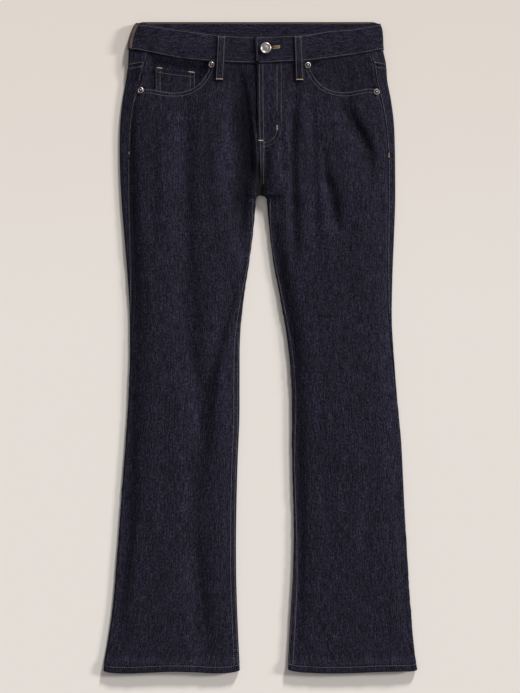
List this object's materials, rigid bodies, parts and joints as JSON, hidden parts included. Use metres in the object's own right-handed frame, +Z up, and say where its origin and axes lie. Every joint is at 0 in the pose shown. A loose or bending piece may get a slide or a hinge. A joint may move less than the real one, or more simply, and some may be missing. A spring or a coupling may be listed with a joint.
{
  "type": "bootcut jeans laid flat",
  "caption": "Dark denim bootcut jeans laid flat and face up, with a buttoned waistband, belt loops, hand pockets and flared hems.",
  "frame": {"origin": "the middle of the bounding box's underside, on the surface that the jeans lie on", "axes": "+X towards the wearer's left, +Y towards the waist, +Z up, away from the surface"},
  "size_m": [0.5053, 1.0501, 0.0182],
  "materials": {
    "denim": "very dark indigo twill denim, matt, with a fine pale fleck and vertical slubs",
    "patch": "plain brown faux leather, matt",
    "metal": "aged nickel, low shine"
  },
  "bodies": {
    "root": {"front_right": "denim", "front_left": "denim", "back_right": "denim", "back_left": "denim", "yoke_right": "denim", "yoke_left": "denim", "waistband_front_right": "denim", "waistband_front_left": "denim", "waistband_back": "denim", "belt_loop_front_right": "denim", "belt_loop_front_left": "denim", "belt_loop_back_right": "denim", "belt_loop_back_centre": "denim", "belt_loop_back_left": "denim", "pocket_facing_right": "denim", "pocket_facing_left": "denim", "coin_pocket": "denim", "back_pocket_right": "denim", "back_pocket_left": "denim", "fly_shield": "denim", "fly_zip": "denim", "waist_patch": "patch", "waist_button": "metal", "rivet_right_inner": "metal", "rivet_right_outer": "metal", "rivet_left_inner": "metal", "rivet_left_outer": "metal"}
  },
  "joints": []
}
